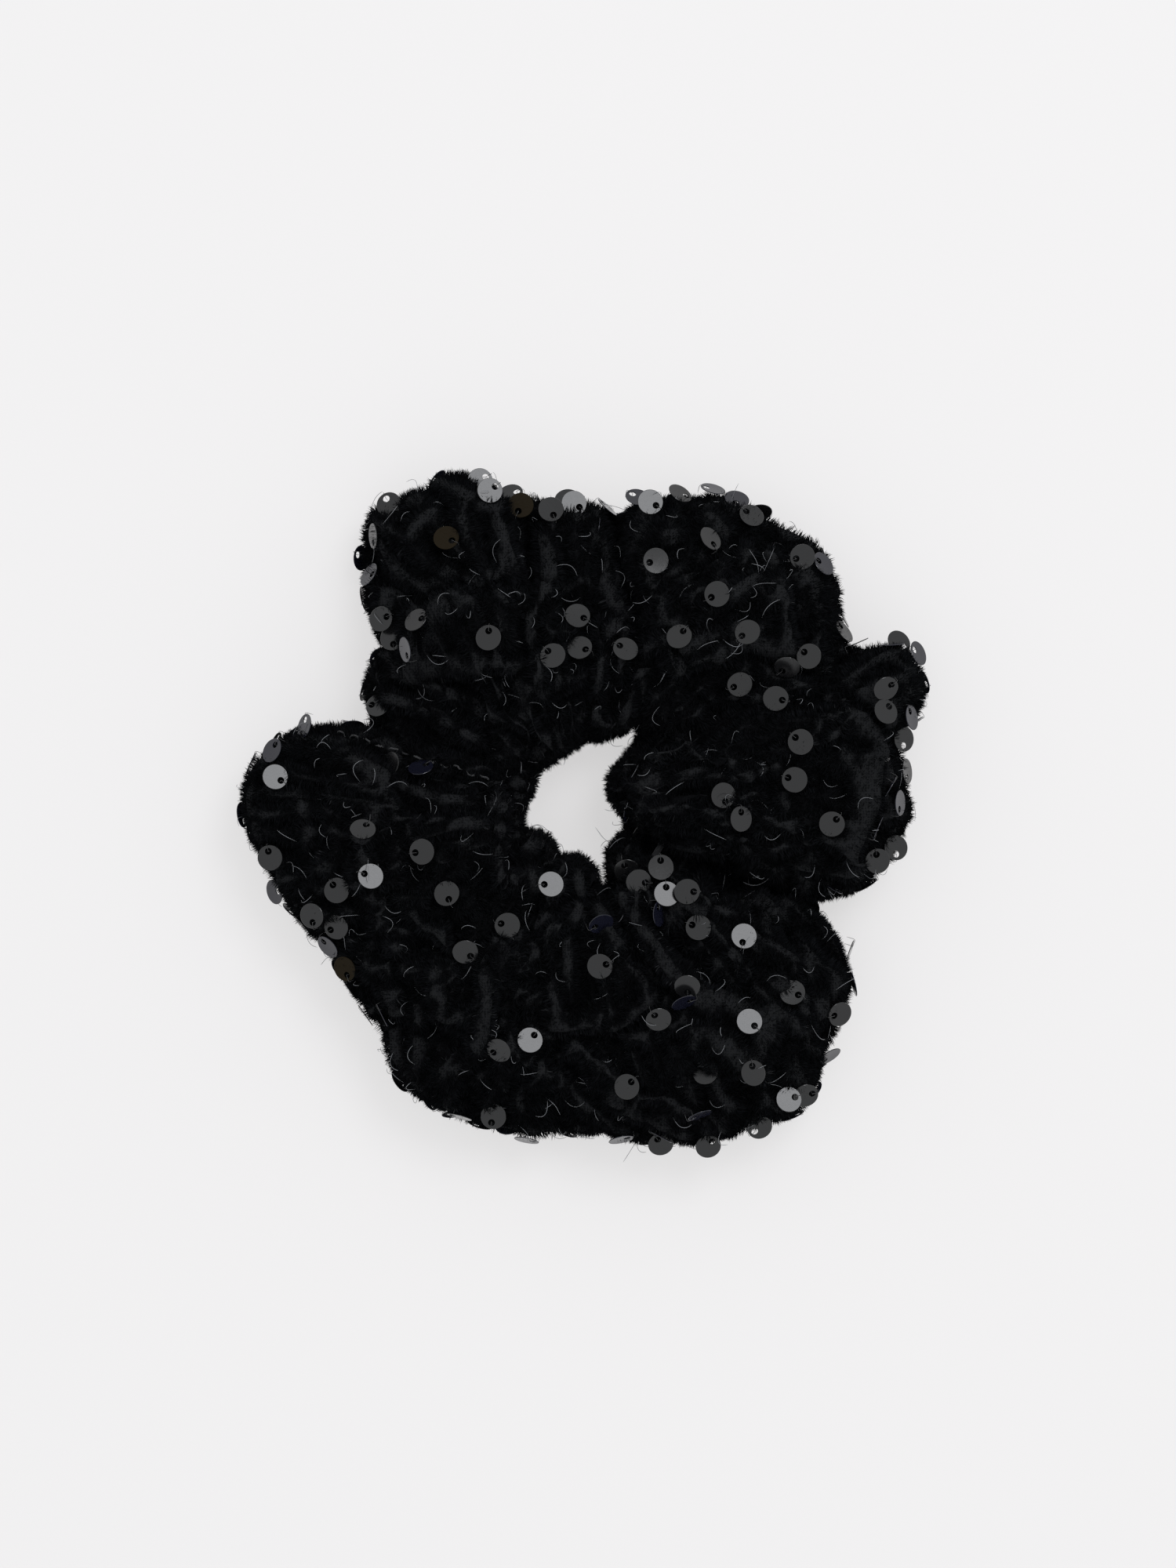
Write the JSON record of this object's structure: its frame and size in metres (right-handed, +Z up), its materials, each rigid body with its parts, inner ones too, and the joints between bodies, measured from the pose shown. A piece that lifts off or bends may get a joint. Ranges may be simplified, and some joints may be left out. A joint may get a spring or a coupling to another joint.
{
  "type": "scrunchie",
  "caption": "Gathered black velvet hair scrunchie with loose round sequins, a flat elastic loop inside, lying flat; one side pulls out to stretch it.",
  "frame": {"origin": "on the table under the middle of the scrunchie's box", "axes": "+Z up out of the table through the ponytail hole, +X from the held side to the pulled side, +Y away from the deep pinches' open side towards the two upper puffs"},
  "size_m": [0.1322, 0.1318, 0.031],
  "materials": {
    "velvet": "crushed black stretch velvet, pile about 1.5 mm, knitted back",
    "elastic": "flat braided elastic, 7 mm, ribbed lengthwise",
    "thread": "black sewing thread",
    "sequin": "glossy black film, smooth, faint scratches"
  },
  "bodies": {
    "held_side": {"cover_left": "velvet", "elastic_band": "elastic", "elastic_tack": "thread", "long_seam_thread": "thread", "closing_stitch": "thread", "sequin_16": "sequin", "sequin_17": "sequin", "sequin_18": "sequin", "sequin_19": "sequin", "sequin_20": "sequin", "sequin_21": "sequin", "sequin_22": "sequin", "sequin_23": "sequin", "sequin_24": "sequin", "sequin_25": "sequin", "sequin_26": "sequin", "sequin_27": "sequin", "sequin_28": "sequin", "sequin_29": "sequin", "sequin_30": "sequin", "sequin_31": "sequin", "sequin_32": "sequin", "sequin_33": "sequin", "sequin_34": "sequin", "sequin_35": "sequin"},
    "pulled_side": {"cover_right": "velvet", "sequin_01": "sequin", "sequin_02": "sequin", "sequin_03": "sequin", "sequin_04": "sequin", "sequin_05": "sequin", "sequin_06": "sequin", "sequin_07": "sequin", "sequin_08": "sequin", "sequin_09": "sequin", "sequin_10": "sequin", "sequin_11": "sequin", "sequin_12": "sequin", "sequin_13": "sequin", "sequin_14": "sequin", "sequin_15": "sequin", "sequin_36": "sequin", "sequin_37": "sequin", "sequin_38": "sequin", "sequin_39": "sequin", "sequin_40": "sequin", "sequin_41": "sequin", "sequin_42": "sequin", "sequin_43": "sequin", "sequin_44": "sequin", "sequin_45": "sequin", "sequin_46": "sequin", "sequin_47": "sequin", "sequin_48": "sequin", "sequin_49": "sequin", "sequin_50": "sequin"}
  },
  "joints": [
    {"name": "stretch", "type": "slide", "parent": "held_side", "child": "pulled_side", "axis": [1, 0, 0], "range_m": [0, 0.06], "stiffness_N_per_m": 100, "deforming": ["elastic_band", "long_seam_thread"]}
  ]
}
